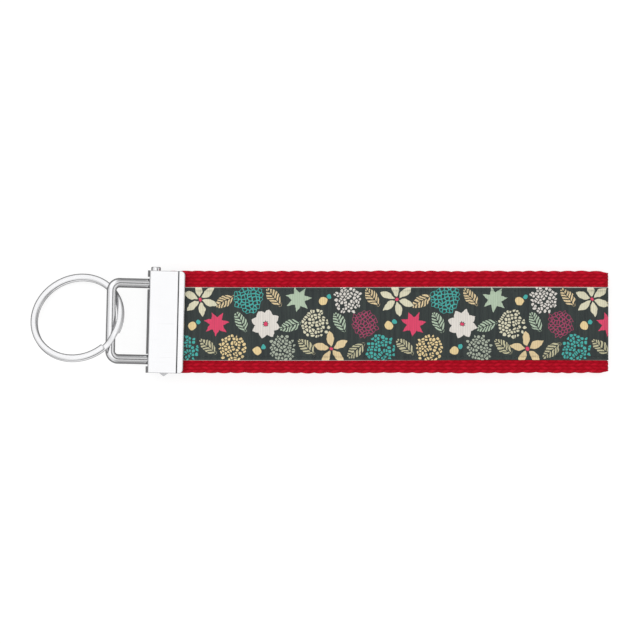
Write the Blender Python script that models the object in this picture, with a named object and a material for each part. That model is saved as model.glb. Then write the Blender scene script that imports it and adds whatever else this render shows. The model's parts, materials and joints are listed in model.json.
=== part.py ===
"""Wristlet key fob: a folded webbing strap with a printed ribbon sewn round its outside, both ends
held in a folded steel clamp, a wire loop hinged in the clamp's fold, and a two-turn split ring
threaded on the loop.

Frame: +X runs from the split ring to the folded end of the strap, +Y across the strap, +Z up.
The fob lies on the plane z = 0, and the origin is under the middle of its bounding box.
Sizes are in millimetres and angles in degrees; MM turns them into metres when a mesh is made.
"""

import math

import bmesh
import bpy
import numpy as np
from mathutils import Matrix, Vector

MM = 0.001

# Strap: one length of webbing folded in half, with its two ends in the clamp.
WEBBING_WIDTH = 31.75       # 1 1/4 in webbing
WEBBING_T = 1.4             # free thickness
STRAP_REACH = 132.3         # from the clamp's mouth to the outside of the fold
FOLD_INNER_R = 0.5          # radius of the webbing's inner face at the fold
LAYER_GAP = 0.16            # between the two webbing ends inside the clamp
WEBBING_SQUEEZE = 0.73      # share of its thickness left between the clamp's plates
STRAP_IN_CLAMP = 5.9        # length of each end inside the clamp
STRAP_BULGE = 5.4           # how far the upper layer stands up between clamp and fold
WEBBING_EDGE = 0.45         # run of the rounded edge

# Ribbon: one length sewn on the outside of the webbing, all the way round.
RIBBON_WIDTH = 22.8
RIBBON_T = 0.3
RIBBON_SHIFT = -0.6         # the ribbon sits a little nearer one edge of the webbing
FABRIC_GAP = 0.15           # clearance between the ribbon and the webbing

# Seams: two lockstitched rows, each a needle thread outside and a bobbin thread inside.
THREAD_D = 0.14
THREAD_GAP = 0.1            # clearance round a thread in its groove
SEAM_INSET = 1.15           # from the ribbon's edge to the row

# Clamp: one sheet folded into a hairpin, its mouth bent in to bite the strap.
CLAMP_DEPTH = 11.75         # along the strap
CLAMP_OVERHANG = 0.1        # of the clamp's length over the webbing's width
SHEET_T = 0.75
NOSE_REACH = 0.85           # how far the fold's blunt nose stands out from the flat of the plates
NOSE_BLUNT = 1.6            # power that makes the nose steeper where it leaves the plates
NOSE_INNER_R = 0.45         # of the inside corners of the fold
PLATE_GAP = 0.2             # clearance between the ribbon and a plate
LIP_BITE = 0.3              # how far the lip's teeth reach in past the plate
LIP_BEND_R = 0.4            # outside radius where the lip turns in at the mouth
LIP_LENGTH = 1.75           # from the crease to the mouth
CREASE_WIDTH = 0.6
CREASE_DEPTH = 0.28
LIP_CORNER_R = 1.4
TEETH = 9                   # notches in each lip
SPUR_LENGTH = 2.9           # small pointed tab on one end of the lower plate
SPUR_REACH = 1.0
SPUR_AT = 5.6               # from the fold to the middle of the spur
CLAMP_SKEW = -1.4           # the clamp is pressed on slightly crooked
CLAMP_HEIGHT = 6.2          # of its middle plane over the floor

# Wire loop: round wire with its two feet turned outwards inside the clamp's fold.
WIRE_D = 3.0
CHANNEL_GAP = 0.25          # clearance round the wire inside the fold
LOOP_REACH = 14.1           # from the hinge axis to the middle of the crossbar
LEG_INSET = 4.075           # from the clamp's end to the middle of a leg
CORNER_R = 2.5              # of the wire's centreline, legs to crossbar
FOOT_BEND_R = 1.8           # of the wire's centreline, legs to feet
FOOT_PROUD = 1.15           # how far the foot at +Y stands out of the clamp
FOOT_SHORT = 0.6            # how far the foot at -Y stops inside the clamp
SLOT_SIDE_GAP = 0.3
LOOP_SWING = 18.0           # the slots let the loop tilt this far each way from the clamp's plane

# Split ring: flat wire, two turns, with one step where they cross over.
RING_OD = 29.8
RING_WIRE_W = 2.05          # radial
RING_WIRE_T = 0.95          # each turn, along the ring's axis
RING_TURN_GAP = 0.2
RING_STEP_HALF = 13.0       # half the arc of the crossover, degrees
RING_STEP_AT = -62.0        # where the crossover sits, degrees round the ring
RING_RISE = 13.99           # of the ring's high side over its low side, as it leans on the crossbar
RING_LEAN = 26.0            # direction of its level diameter, degrees from +X
RING_BAR_GAP = 0.55         # seen from above, between the crossbar and the ring's inner edge
RING_SHIFT = 0.9            # of the ring's middle from the crossbar's middle, across the strap

# Sizes that follow from the ones above.
CLAMP_LENGTH = WEBBING_WIDTH + CLAMP_OVERHANG
LEG_SPACING = CLAMP_LENGTH - 2 * LEG_INSET
STACK_HALF = LAYER_GAP / 2 + WEBBING_SQUEEZE * WEBBING_T + FABRIC_GAP + RIBBON_T
PLATE_HALF = STACK_HALF + PLATE_GAP
CHANNEL_R = WIRE_D / 2 + CHANNEL_GAP
GROOVE_DEPTH = THREAD_D + THREAD_GAP
SEAM_Y = RIBBON_WIDTH / 2 - SEAM_INSET
COVER_T = FABRIC_GAP + RIBBON_T
FOLD_Z = COVER_T + WEBBING_T + FOLD_INNER_R
HINGE_U = -CLAMP_DEPTH / 2 + CHANNEL_R + SHEET_T
RING_OUT_R = RING_OD / 2
RING_IN_R = RING_OUT_R - RING_WIRE_W
RING_MID_R = RING_OUT_R - RING_WIRE_W / 2
RING_TILT = math.degrees(math.asin(RING_RISE / RING_OD))


def clear_scene():
    """Remove every object of the open scene."""
    for obj in list(bpy.data.objects):
        bpy.data.objects.remove(obj, do_unlink=True)


def material(name, colour, roughness, metallic):
    """A Principled material with a plain colour."""
    made = bpy.data.materials.new(name)
    made.use_nodes = True
    shader = made.node_tree.nodes["Principled BSDF"]
    shader.inputs["Base Color"].default_value = (*colour, 1.0)
    shader.inputs["Roughness"].default_value = roughness
    shader.inputs["Metallic"].default_value = metallic
    made.diffuse_color = (*colour, 1.0)
    return made


def empty(name, parent, location, rotation=(0, 0, 0)):
    """An axis or frame that pieces hang from; location in mm and rotation in degrees."""
    made = bpy.data.objects.new(name, None)
    made.empty_display_size = 5 * MM
    made.parent = parent
    made.location = Vector(location) * MM
    made.rotation_euler = [math.radians(a) for a in rotation]
    bpy.context.scene.collection.objects.link(made)
    return made


def mesh_object(name, points, faces, look, parent, smooth_angle=35.0):
    """A closed mesh from points in mm, with its faces turned outwards."""
    mesh = bpy.data.meshes.new(name)
    mesh.from_pydata([tuple(c * MM for c in p) for p in points], [], faces)
    shape = bmesh.new()
    shape.from_mesh(mesh)
    bmesh.ops.recalc_face_normals(shape, faces=shape.faces)
    if shape.calc_volume(signed=True) < 0:
        bmesh.ops.reverse_faces(shape, faces=shape.faces)
    shape.to_mesh(mesh)
    shape.free()
    mesh.shade_smooth()
    mesh.set_sharp_from_angle(angle=math.radians(smooth_angle))
    if look:
        mesh.materials.append(look)
    made = bpy.data.objects.new(name, mesh)
    made.parent = parent
    bpy.context.scene.collection.objects.link(made)
    return made


def lofted(rows):
    """Points and faces of a closed tube through rows of equally many points, with flat ends."""
    count = len(rows[0])
    points = [tuple(p) for row in rows for p in row]
    faces = []
    for i in range(len(rows) - 1):
        for j in range(count):
            k = (j + 1) % count
            faces.append((i * count + j, i * count + k, (i + 1) * count + k, (i + 1) * count + j))
    faces.append(tuple(range(count))[::-1])
    last = (len(rows) - 1) * count
    faces.append(tuple(last + j for j in range(count)))
    return points, faces


def prism(outline, low, high, axis):
    """Points and faces of an outline of 2-D points pushed from low to high along an axis."""
    if axis == "y":
        rows = [[(a, level, b) for a, b in outline] for level in (low, high)]
    else:
        rows = [[(a, b, level) for a, b in outline] for level in (low, high)]
    return lofted(rows)


def joined(*shapes):
    """Several closed shapes as one list of points and one of faces."""
    points = []
    faces = []
    for more_points, more_faces in shapes:
        start = len(points)
        points += more_points
        faces += [tuple(start + i for i in face) for face in more_faces]
    return points, faces


def cutter(name, points, faces, parent):
    """A shape used only by a Boolean."""
    made = mesh_object(name, points, faces, None, parent)
    made.hide_render = True
    made.display_type = "WIRE"
    return made


def boolean(target, tool, operation):
    """An exact Boolean that stays on its object."""
    step = target.modifiers.new(tool.name, "BOOLEAN")
    step.operation = operation
    step.solver = "EXACT"
    step.object = tool


def smooth_through(knots, x):
    """Height at x of a smooth curve through knots (x, z) that never overshoots them."""
    kx = np.array([k[0] for k in knots], float)
    kz = np.array([k[1] for k in knots], float)
    width = np.diff(kx)
    slope = np.diff(kz) / width
    tangent = np.zeros(len(kx))
    for i in range(1, len(kx) - 1):
        if slope[i - 1] * slope[i] > 0:
            tangent[i] = 2 / (1 / slope[i - 1] + 1 / slope[i])
    i = int(np.clip(np.searchsorted(kx, x) - 1, 0, len(width) - 1))
    t = (x - kx[i]) / width[i]
    a = 2 * t ** 3 - 3 * t ** 2 + 1
    b = t ** 3 - 2 * t ** 2 + t
    c = -2 * t ** 3 + 3 * t ** 2
    d = t ** 3 - t ** 2
    return a * kz[i] + b * width[i] * tangent[i] + c * kz[i + 1] + d * width[i] * tangent[i + 1]


# ---- Frames: everything hangs from one root, which is centred over the origin at the end. ----

clear_scene()
root = empty("fob", None, (0, 0, 0))

MOUTH_X = CLAMP_DEPTH / 2
FOLD_X = MOUTH_X + STRAP_REACH - COVER_T - WEBBING_T - FOLD_INNER_R
END_X = MOUTH_X - STRAP_IN_CLAMP
clamp_frame = empty("clamp_frame", root, (0, 0, CLAMP_HEIGHT), (0, 0, CLAMP_SKEW))

# ---- Strap course: the webbing's inner face, seen from the side, from one end to the other. ----


def webbing_thickness(x):
    """Free thickness, less between the plates, and least under the lips' teeth."""
    held = WEBBING_SQUEEZE * WEBBING_T
    knots = [
        (END_X - 1, held),
        (MOUTH_X - 2.0, held),
        (MOUTH_X - 1.1, held - LIP_BITE),
        (MOUTH_X + 0.7, held - LIP_BITE),
        (MOUTH_X + 4.0, WEBBING_T),
        (FOLD_X + 1, WEBBING_T),
    ]
    return smooth_through(knots, x)


def upper_inner_z(x):
    """Height of the upper layer's inner face: level in the clamp, a low arch, down to the fold."""
    start = CLAMP_HEIGHT + LAYER_GAP / 2
    end = FOLD_Z + FOLD_INNER_R
    run = FOLD_X - MOUTH_X
    top = end + STRAP_BULGE
    knots = [
        (END_X - 1, start),
        (MOUTH_X + 0.7, start),
        (MOUTH_X + 0.10 * run, start + 0.45 * (top - start)),
        (MOUTH_X + 0.38 * run, top),
        (MOUTH_X + 0.66 * run, end + 0.70 * STRAP_BULGE),
        (MOUTH_X + 0.88 * run, end + 0.17 * STRAP_BULGE),
        (FOLD_X, end),
    ]
    return smooth_through(knots, x)


def lower_inner_z(x):
    """Height of the lower layer's inner face: level in the clamp, then down to lie on the floor."""
    start = CLAMP_HEIGHT - LAYER_GAP / 2
    end = FOLD_Z - FOLD_INNER_R
    run = FOLD_X - MOUTH_X
    knots = [
        (END_X - 1, start),
        (MOUTH_X + 0.7, start),
        (MOUTH_X + 0.085 * run, end + 0.42 * (start - end)),
        (MOUTH_X + 0.21 * run, end),
        (FOLD_X, end),
    ]
    return smooth_through(knots, x)


def layer_stations(height, count, side):
    """(x, z, normal x, normal z, thickness) along one layer, close together near the clamp."""
    near = [END_X, MOUTH_X - 2.0, MOUTH_X - 1.55, MOUTH_X - 1.1, MOUTH_X + 0.7, MOUTH_X + 1.8]
    near += [MOUTH_X + 2.9, MOUTH_X + 4.0]
    far = np.linspace(0, 1, count + 1)[1:] ** 1.15 * (FOLD_X - near[-1]) + near[-1]
    found = []
    for x in near + [float(v) for v in far[:-1]]:
        rise = (height(x + 0.01) - height(x - 0.01)) / 0.02
        size = math.hypot(rise, 1)
        found.append((x, height(x), -side * rise / size, side / size, webbing_thickness(x)))
    return found


def strap_stations():
    """The whole course: along the upper layer, round the fold, and back along the lower one."""
    course = layer_stations(upper_inner_z, 19, 1)
    for step in range(10):
        angle = math.pi / 2 - math.pi * step / 9
        c = math.cos(angle)
        s = math.sin(angle)
        course.append((FOLD_X + FOLD_INNER_R * c, FOLD_Z + FOLD_INNER_R * s, c, s, WEBBING_T))
    course += layer_stations(lower_inner_z, 13, -1)[::-1]
    return course


COURSE = strap_stations()


def strip_along(section):
    """A closed strip: section(t) gives points (y, distance out from the webbing's inner face)."""
    rows = []
    for x, z, nx, nz, t in COURSE:
        rows.append([(x + nx * out, y, z + nz * out) for y, out in section(t)])
    return lofted(rows)


def groove(y, face, into):
    """Four points of a shallow groove at y in a face, going to the side that `into` gives."""
    floor = face + into * GROOVE_DEPTH
    half = THREAD_D / 2 + THREAD_GAP
    top = half + 2 * GROOVE_DEPTH
    return [(y - top, face), (y - half, floor), (y + half, floor), (y + top, face)]


SEAMS = (RIBBON_SHIFT - SEAM_Y, RIBBON_SHIFT + SEAM_Y)


def webbing_section(t):
    """Flat band with rounded edges and a groove over and under each seam."""
    half = WEBBING_WIDTH / 2
    low = [(-half, 0.35 * t), (-half + WEBBING_EDGE, 0)]
    low += groove(SEAMS[0], 0, 1) + groove(SEAMS[1], 0, 1)
    low += [(half - WEBBING_EDGE, 0), (half, 0.35 * t)]
    high = [(-half, 0.65 * t), (-half + WEBBING_EDGE, t)]
    high += groove(SEAMS[0], t, -1) + groove(SEAMS[1], t, -1)
    high += [(half - WEBBING_EDGE, t), (half, 0.65 * t)]
    return low + high[::-1]


def ribbon_section(t):
    """Thin band that dips into the webbing's outer grooves along both seams."""
    half = RIBBON_WIDTH / 2
    base = t + FABRIC_GAP
    low = [(RIBBON_SHIFT - half, base)]
    low += groove(SEAMS[0], base, -1) + groove(SEAMS[1], base, -1)
    low += [(RIBBON_SHIFT + half, base)]
    high = [(y, out + RIBBON_T) for y, out in low]
    return low + high[::-1]


def thread_section(y, outside):
    """Small round strand lying in a groove, either over the ribbon or under the webbing."""

    def section(t):
        if outside:
            middle = t + COVER_T - GROOVE_DEPTH + THREAD_GAP + THREAD_D / 2
        else:
            middle = GROOVE_DEPTH - THREAD_GAP - THREAD_D / 2
        turns = [math.radians(30 + 60 * k) for k in range(6)]
        r = THREAD_D / 2
        return [(y + r * math.cos(a), middle + r * math.sin(a)) for a in turns]

    return section


webbing = mesh_object(
    "webbing", *strip_along(webbing_section), material("webbing_red", (0.42, 0.008, 0.03), 0.75, 0), root
)
ribbon = mesh_object(
    "ribbon", *strip_along(ribbon_section), material("ribbon_print", (0.05, 0.08, 0.09), 0.6, 0), root
)
clear_thread = material("clear_thread", (0.75, 0.76, 0.74), 0.3, 0)
for thread_name, seam, outer in (
    ("needle_thread_left", 1, True),
    ("needle_thread_right", 0, True),
    ("bobbin_thread_left", 1, False),
    ("bobbin_thread_right", 0, False),
):
    thread_shape = strip_along(thread_section(SEAMS[seam], outer))
    mesh_object(thread_name, *thread_shape, clear_thread, root)

# ---- Clamp: the side outline of the hairpin, pushed across, then slotted, toothed and trimmed. ----

PLATE_TOP = PLATE_HALF + SHEET_T
TIP_Z = PLATE_HALF - LIP_BITE
SHOULDER_U = HINGE_U + WIRE_D / 2 + CHANNEL_GAP


def clamp_outline():
    """Points (u, z) all round the folded sheet: outside, one lip, inside, the other lip."""
    mouth = CLAMP_DEPTH / 2
    crease = mouth - LIP_LENGTH
    bend = LIP_BEND_R
    outer = [
        (SHOULDER_U, PLATE_TOP),
        (crease - CREASE_WIDTH, PLATE_TOP),
        (crease - CREASE_WIDTH * 0.62, PLATE_TOP - CREASE_DEPTH),
        (crease - CREASE_WIDTH * 0.38, PLATE_TOP - CREASE_DEPTH),
        (crease, PLATE_TOP),
    ]
    for k in range(7):
        a = math.radians(90 - 15 * k)
        outer.append((mouth - bend + bend * math.cos(a), PLATE_TOP - bend + bend * math.sin(a)))
    outer += [(mouth, TIP_Z + 0.12), (mouth - 0.12, TIP_Z)]
    inner = [
        (mouth - SHEET_T + 0.12, TIP_Z),
        (mouth - SHEET_T, TIP_Z + 0.12),
        (mouth - SHEET_T - 0.12, PLATE_HALF),
        (SHOULDER_U, PLATE_HALF),
    ]
    nose = []
    for k in range(25):
        a = math.radians(7.5 * k)
        reach = NOSE_REACH * (1 - max(math.sin(a), 0.0) ** NOSE_BLUNT)
        nose.append((HINGE_U - CHANNEL_R - SHEET_T + reach, (CHANNEL_R + SHEET_T) * math.cos(a)))
    channel = []
    for side, first in ((1, 90), (-1, 180)):
        for k in range(7):
            a = math.radians(first + 15 * k)
            channel.append(
                (
                    HINGE_U - CHANNEL_R + NOSE_INNER_R + NOSE_INNER_R * math.cos(a),
                    side * (CHANNEL_R - NOSE_INNER_R) + NOSE_INNER_R * math.sin(a),
                )
            )
    below = [(u, -z) for u, z in outer]
    inner_below = [(u, -z) for u, z in inner]
    return outer[::-1] + nose + below + inner_below + channel[::-1] + inner[::-1]


def clamp_slots():
    """Two wedge-shaped slots in the fold, open enough for the legs to tilt LOOP_SWING each way."""
    spread = math.tan(math.radians(LOOP_SWING))
    start = WIRE_D / 2 / math.cos(math.radians(LOOP_SWING)) + CHANNEL_GAP / 2
    far = CHANNEL_R + SHEET_T + 1
    wedge = [
        (HINGE_U + 0.3, start - 0.3 * spread),
        (HINGE_U - far, start + far * spread),
        (HINGE_U - far, -start - far * spread),
        (HINGE_U + 0.3, -start + 0.3 * spread),
    ]
    half = WIRE_D / 2 + SLOT_SIDE_GAP
    middle = LEG_SPACING / 2
    upper = prism(wedge, middle - half, middle + half + SLOT_SIDE_GAP, "y")
    lower = prism(wedge, -middle - half - SLOT_SIDE_GAP, -middle + half, "y")
    return joined(upper, lower)


def lip_notches():
    """V notches that leave teeth along the edges of both lips."""
    pitch = (CLAMP_LENGTH - 2 * LIP_CORNER_R) / TEETH
    shapes = []
    for k in range(TEETH):
        v = -CLAMP_LENGTH / 2 + LIP_CORNER_R + pitch * (k + 0.5)
        for side in (1, -1):
            rows = []
            for u in (CLAMP_DEPTH / 2 - SHEET_T - 0.5, CLAMP_DEPTH / 2 + 0.5):
                low = side * (TIP_Z - 0.2)
                rows.append(
                    [
                        (u, v - 0.28 * pitch, low),
                        (u, v, side * (PLATE_HALF - 0.05)),
                        (u, v + 0.28 * pitch, low),
                    ]
                )
            shapes.append(lofted(rows))
    return joined(*shapes)


def lip_corner_trims():
    """What is taken off the clamp's two mouth corners to round them, seen from above."""
    shapes = []
    e = CLAMP_DEPTH / 2
    r = LIP_CORNER_R
    for side in (1, -1):
        end = side * CLAMP_LENGTH / 2
        arc = [math.radians(90 * k / 6) for k in range(7)]
        outline = [(e + 1, end - side * r), (e + 1, end + side), (e - r, end + side)]
        for a in reversed(arc):
            outline.append((e - r + r * math.cos(a), end - side * r + side * r * math.sin(a)))
        shapes.append(prism(outline, -PLATE_TOP - 1, PLATE_TOP + 1, "z"))
    return joined(*shapes)


def spur_shape():
    """Small pointed tab in the plane of the lower plate, rooted in its end."""
    u = -CLAMP_DEPTH / 2 + SPUR_AT
    end = -CLAMP_LENGTH / 2
    outline = [
        (u - SPUR_LENGTH / 2, end + 0.6),
        (u - SPUR_LENGTH / 2, end),
        (u - 0.12, end - SPUR_REACH),
        (u + 0.12, end - SPUR_REACH),
        (u + SPUR_LENGTH / 2, end),
        (u + SPUR_LENGTH / 2, end + 0.6),
    ]
    return prism(outline, -PLATE_TOP + 0.1, -PLATE_HALF - 0.1, "z")


clamp_shape = prism(clamp_outline(), -CLAMP_LENGTH / 2, CLAMP_LENGTH / 2, "y")
clamp = mesh_object(
    "clamp", *clamp_shape, material("clamp_steel", (0.82, 0.83, 0.85), 0.12, 1.0), clamp_frame, 30.0
)
boolean(clamp, cutter("spur_tool", *spur_shape(), clamp_frame), "UNION")
boolean(clamp, cutter("slot_tool", *clamp_slots(), clamp_frame), "DIFFERENCE")
boolean(clamp, cutter("teeth_tool", *lip_notches(), clamp_frame), "DIFFERENCE")
boolean(clamp, cutter("corner_tool", *lip_corner_trims(), clamp_frame), "DIFFERENCE")

# ---- Split ring: modelled flat round its own axis, then leaned on the crossbar. ----


def ring_rows():
    """Sections of flat wire with rounded edges along two turns that step up once."""
    half_w = RING_WIRE_W / 2
    half_t = RING_WIRE_T / 2
    pitch = RING_WIRE_T + RING_TURN_GAP
    edge = []
    for cx, cy, first in ((1, 1, 0), (-1, 1, 90), (-1, -1, 180), (1, -1, 270)):
        r = 0.72 * half_t
        for k in range(3):
            a = math.radians(first + 45 * k)
            edge.append(
                (cx * (half_w - r) + r * math.cos(a), cy * (half_t - r) + r * math.sin(a))
            )
    start = RING_STEP_AT + RING_STEP_HALF
    end = RING_STEP_AT + 720 - RING_STEP_HALF
    rows = []
    steps = 92
    for k in range(steps + 1):
        angle = start + (end - start) * k / steps
        t = (angle - (RING_STEP_AT + 360 - RING_STEP_HALF)) / (2 * RING_STEP_HALF)
        t = min(max(t, 0.0), 1.0)
        level = pitch * (t * t * (3 - 2 * t) - 0.5)
        taper = 0.75 if k in (0, steps) else 1.0
        c = math.cos(math.radians(angle))
        s = math.sin(math.radians(angle))
        row = []
        for out, up in edge:
            row.append(
                (
                    (RING_MID_R + out * taper) * c,
                    (RING_MID_R + out * taper) * s,
                    level + up * taper,
                )
            )
        rows.append(row)
    return rows


ring_turn = Matrix.Rotation(math.radians(RING_LEAN), 3, "Z") @ Matrix.Rotation(
    math.radians(-RING_TILT), 3, "X"
)
ring_lowest = min((ring_turn @ Vector(p)).z for row in ring_rows() for p in row)
RING_Z = -ring_lowest
lean = math.radians(RING_LEAN)
tilt = math.radians(RING_TILT)
ring_half_x = math.hypot(math.cos(lean), math.sin(lean) * math.cos(tilt))
BAR_FROM_RING = RING_IN_R * ring_half_x - RING_BAR_GAP - WIRE_D / 2
BAR_Z = RING_Z + BAR_FROM_RING * math.sin(lean) * math.tan(tilt)
LOOP_PITCH = math.degrees(math.asin((BAR_Z - CLAMP_HEIGHT) / LOOP_REACH))

# ---- Wire loop: its frame turns about the hinge axis, which is the middle of the clamp's fold. ----

loop_hinge = empty("loop_hinge", clamp_frame, (HINGE_U, 0, 0), (0, LOOP_PITCH, 0))


def loop_centreline():
    """Points (u, v) and headings of the bent wire, from the foot at +Y to the foot at -Y."""
    half = LEG_SPACING / 2
    path = []
    foot = CLAMP_LENGTH / 2 + FOOT_PROUD
    path += [(0, foot, 180 + 90, 0.8), (0, foot - 0.25, 270, 1.0)]
    for k in range(7):
        a = math.radians(15 * k)
        path.append(
            (
                -FOOT_BEND_R + FOOT_BEND_R * math.cos(a),
                half + FOOT_BEND_R - FOOT_BEND_R * math.sin(a),
                270 - 15 * k,
                1.0,
            )
        )
    for k in range(9):
        a = math.radians(11.25 * k)
        path.append(
            (
                -(LOOP_REACH - CORNER_R) - CORNER_R * math.sin(a),
                half - CORNER_R + CORNER_R * math.cos(a),
                180 + 11.25 * k,
                1.0,
            )
        )
    for k in range(9):
        a = math.radians(11.25 * k)
        path.append(
            (
                -(LOOP_REACH - CORNER_R) - CORNER_R * math.cos(a),
                -half + CORNER_R - CORNER_R * math.sin(a),
                270 + 11.25 * k,
                1.0,
            )
        )
    for k in range(7):
        a = math.radians(15 * k)
        path.append(
            (
                -FOOT_BEND_R + FOOT_BEND_R * math.sin(a),
                -half - FOOT_BEND_R + FOOT_BEND_R * math.cos(a),
                360 - 15 * k,
                1.0,
            )
        )
    foot = CLAMP_LENGTH / 2 - FOOT_SHORT
    path += [(0, -foot + 0.25, 270, 1.0), (0, -foot, 270, 0.8)]
    return path


def loop_rows():
    """Round sections square to the centreline, smaller at both end faces for a chamfer."""
    rows = []
    for u, v, heading, size in loop_centreline():
        a = math.radians(heading)
        across = Vector((-math.sin(a), math.cos(a), 0))
        up = Vector((0, 0, 1))
        row = []
        for k in range(16):
            t = 2 * math.pi * k / 16
            out = across * math.cos(t) + up * math.sin(t)
            row.append(Vector((u, v, 0)) + out * (size * WIRE_D / 2))
        rows.append(row)
    return rows


wire_loop = mesh_object(
    "wire_loop",
    *lofted(loop_rows()),
    material("loop_wire", (0.78, 0.79, 0.81), 0.15, 1.0),
    loop_hinge,
    50.0,
)

ring_hinge = empty("ring_hinge", loop_hinge, (-LOOP_REACH, 0, 0))
split_ring = mesh_object(
    "split_ring",
    *lofted(ring_rows()),
    material("ring_steel", (0.76, 0.77, 0.79), 0.18, 1.0),
    ring_hinge,
    50.0,
)
bpy.context.view_layer.update()
bar = ring_hinge.matrix_world.translation / MM
ring_place = Matrix.Translation(
    Vector((bar.x - BAR_FROM_RING, bar.y + RING_SHIFT, RING_Z)) * MM
)
split_ring.matrix_local = (
    ring_hinge.matrix_world.inverted() @ ring_place @ ring_turn.to_4x4()
)

# ---- Centre the whole fob over the origin. ----

bpy.context.view_layer.update()
corners = []
for piece in (webbing, clamp, wire_loop, split_ring):
    for vertex in piece.data.vertices:
        corners.append((piece.matrix_world @ vertex.co)[:2])
spur_tip = clamp.matrix_world @ Vector(
    (
        (-CLAMP_DEPTH / 2 + SPUR_AT) * MM,
        (-CLAMP_LENGTH / 2 - SPUR_REACH) * MM,
        -PLATE_TOP * MM,
    )
)
corners.append(spur_tip[:2])
ribbon_end = (MOUTH_X + STRAP_REACH) * MM
corners.append((ribbon_end, 0))
low_corner = np.min(corners, axis=0)
high_corner = np.max(corners, axis=0)
root.location = (*(-(low_corner + high_corner) / 2), 0)
bpy.context.view_layer.update()
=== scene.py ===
"""Wristlet key fob, dressed: a folded strap of red webbing with a printed grosgrain ribbon sewn
round it, a nickel-plated clamp, a hinged wire loop and a split ring, lying on a pale table.

Frame: metres, +X from the split ring to the strap's fold, +Y across the strap, +Z up.
"""

import json
import math

import bmesh
import bpy
import numpy as np
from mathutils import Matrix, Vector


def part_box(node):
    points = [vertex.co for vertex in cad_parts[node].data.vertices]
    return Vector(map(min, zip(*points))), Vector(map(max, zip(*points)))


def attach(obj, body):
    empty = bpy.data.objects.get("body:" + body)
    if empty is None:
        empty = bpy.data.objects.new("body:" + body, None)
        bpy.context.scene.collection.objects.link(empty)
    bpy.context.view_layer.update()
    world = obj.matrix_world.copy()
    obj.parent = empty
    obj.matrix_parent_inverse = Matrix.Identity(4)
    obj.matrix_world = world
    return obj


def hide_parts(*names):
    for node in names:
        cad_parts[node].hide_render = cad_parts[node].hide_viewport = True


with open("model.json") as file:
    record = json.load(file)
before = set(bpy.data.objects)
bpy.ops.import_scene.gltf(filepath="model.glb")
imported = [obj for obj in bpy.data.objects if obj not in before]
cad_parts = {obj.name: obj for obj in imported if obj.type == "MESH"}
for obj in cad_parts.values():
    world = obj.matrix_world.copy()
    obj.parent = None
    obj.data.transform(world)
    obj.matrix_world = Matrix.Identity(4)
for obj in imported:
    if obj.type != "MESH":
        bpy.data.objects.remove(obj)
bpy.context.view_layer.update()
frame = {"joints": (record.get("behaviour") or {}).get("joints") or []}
MM = 0.001

# ---- Camera: straight above the fob, far off with a long lens, the whole fob in view. ----

CAMERA_HEIGHT = 1.678
camera = bpy.data.objects.new("camera", bpy.data.cameras.new("camera"))
camera.data.lens = 300.0
camera.data.sensor_width = 36.0
camera.location = (0.0007, -0.00014, CAMERA_HEIGHT)
bpy.context.scene.collection.objects.link(camera)
bpy.context.scene.camera = camera

# ---- Webbing ----
# One length of 1 1/4 in red spun-polyester webbing, woven plain with 30 thick warp yarns, folded
# in half into a flat wrist loop. Both cut ends are pressed together inside the clamp.

WEBBING_T = 1.4
WEBBING_SQUEEZE = 0.73
LAYER_GAP = 0.16
FOLD_INNER_R = 0.5
STRAP_IN_CLAMP = 5.9
STRAP_BULGE = 5.4
RIBBON_T = 0.3
FABRIC_GAP = 0.15
CLAMP_HEIGHT = 6.2
LIP_BITE = 0.3
YARNS = 30                  # warp yarns across the webbing
FLOAT = 2.3                 # length of one over-and-under of a warp yarn
EDGE_LOOP = 4.3             # between the loops along each edge
WEAVE_DEPTH = 0.2
EDGE_WAVE = 0.3             # how far the edge yarn's loops stand out
MARGIN_BULGE = 0.4          # beside the ribbon, where the webbing isn't held down at the fold
CORNER_PULL = 0.7           # of the webbing's edges towards its middle, right at the fold
FOLD_REACH = 3.0            # how far from the fold both of those reach
RIBBON_WIDTH = 22.8
RIBBON_MIDDLE = -0.6
WEBBING_STEP = 0.46         # between rows of the mesh

webbing_low, webbing_high = [np.array(corner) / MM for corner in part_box("webbing")]
WEBBING_WIDTH = webbing_high[1] - webbing_low[1]
MID_Y = (webbing_low[1] + webbing_high[1]) / 2
END_X = webbing_low[0]
MOUTH_X = END_X + STRAP_IN_CLAMP
FOLD_Z = RIBBON_T + FABRIC_GAP + WEBBING_T + FOLD_INNER_R
FOLD_X = webbing_high[0] - WEBBING_T - FOLD_INNER_R


def smooth_through(knots, x):
    """Heights at x of a curve through the knots: a cubic between each two, level at each turn,
    and with the harmonic mean of the slopes either side everywhere else, so it never overshoots.
    """
    kx = np.array([k[0] for k in knots], float)
    kz = np.array([k[1] for k in knots], float)
    width = np.diff(kx)
    slope = np.diff(kz) / width
    before, after = slope[:-1], slope[1:]
    same = before * after > 0
    mean = np.where(same, 2 * before * after / np.where(same, before + after, 1.0), 0.0)
    tangent = np.concatenate([[0.0], mean, [0.0]])
    i = np.clip(np.searchsorted(kx, x) - 1, 0, len(width) - 1)
    t = (x - kx[i]) / width[i]
    rise = kz[i] * (2 * t**3 - 3 * t**2 + 1) + kz[i + 1] * (3 * t**2 - 2 * t**3)
    lean = tangent[i] * (t**3 - 2 * t**2 + t) + tangent[i + 1] * (t**3 - t**2)
    return rise + lean * width[i]


def webbing_thickness(x):
    """Full thickness along the loop, squeezed between the plates, least under the lips."""
    held = WEBBING_SQUEEZE * WEBBING_T
    knots = [(END_X - 1, held), (MOUTH_X - 2.0, held), (MOUTH_X - 1.1, held - LIP_BITE)]
    knots += [(MOUTH_X + 0.7, held - LIP_BITE), (MOUTH_X + 4.0, WEBBING_T)]
    knots += [(FOLD_X + 9, WEBBING_T)]
    return smooth_through(knots, x)


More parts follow.
